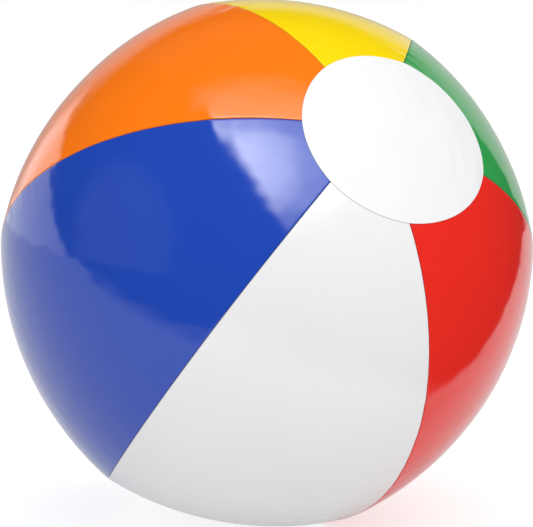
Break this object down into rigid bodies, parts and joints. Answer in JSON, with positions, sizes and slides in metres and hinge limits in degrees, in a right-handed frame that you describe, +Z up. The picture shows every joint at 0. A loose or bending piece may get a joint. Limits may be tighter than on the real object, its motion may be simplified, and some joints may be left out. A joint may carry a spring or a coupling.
{
  "type": "inflatable beach ball",
  "caption": "Inflated vinyl beach ball of coloured gores with a round white disc over each end and a push-in air valve with a tethered plug.",
  "frame": {"origin": "on the ground, below the middle of the ball's box", "axes": "+Z up, with the ball lying on its white gore; +Y outwards along the valve's level axis; +X to the right seen from the side away from the valve"},
  "size_m": [0.3456, 0.3502, 0.345],
  "materials": {
    "vinyl_blue": "gloss",
    "vinyl_white": "gloss",
    "vinyl_red": "gloss",
    "vinyl_green": "gloss",
    "vinyl_yellow": "gloss",
    "vinyl_orange": "gloss",
    "vinyl_disc": "satin gloss",
    "vinyl_clear": "satin gloss, slightly milky"
  },
  "bodies": {
    "envelope": {"gore_blue": "vinyl_blue", "gore_white": "vinyl_white", "gore_red": "vinyl_red", "gore_green": "vinyl_green", "gore_yellow": "vinyl_yellow", "gore_orange": "vinyl_orange", "end_disc_near": "vinyl_disc", "end_disc_far": "vinyl_disc", "valve_flange": "vinyl_clear", "valve_web": "vinyl_clear"},
    "stem": {"valve_stem": "vinyl_clear", "plug_tether": "vinyl_clear"},
    "plug": {"valve_plug": "vinyl_clear"},
    "flap": {"check_flap": "vinyl_clear"}
  },
  "joints": [
    {"name": "valve_push", "type": "slide", "parent": "envelope", "child": "stem", "axis": [0, 1, 0], "range_m": [0, 0.009], "deforming": ["valve_web"]},
    {"name": "plug_swing", "type": "hinge", "parent": "stem", "child": "plug", "pos_m": [-0.00023, 0.17436, 0.18031], "axis": [1, 0, 0], "range_deg": [0, 130]},
    {"name": "flap_swing", "type": "hinge", "parent": "stem", "child": "flap", "pos_m": [-0.00023, 0.16136, 0.17691], "axis": [-1, 0, 0], "range_deg": [0, 60]}
  ]
}
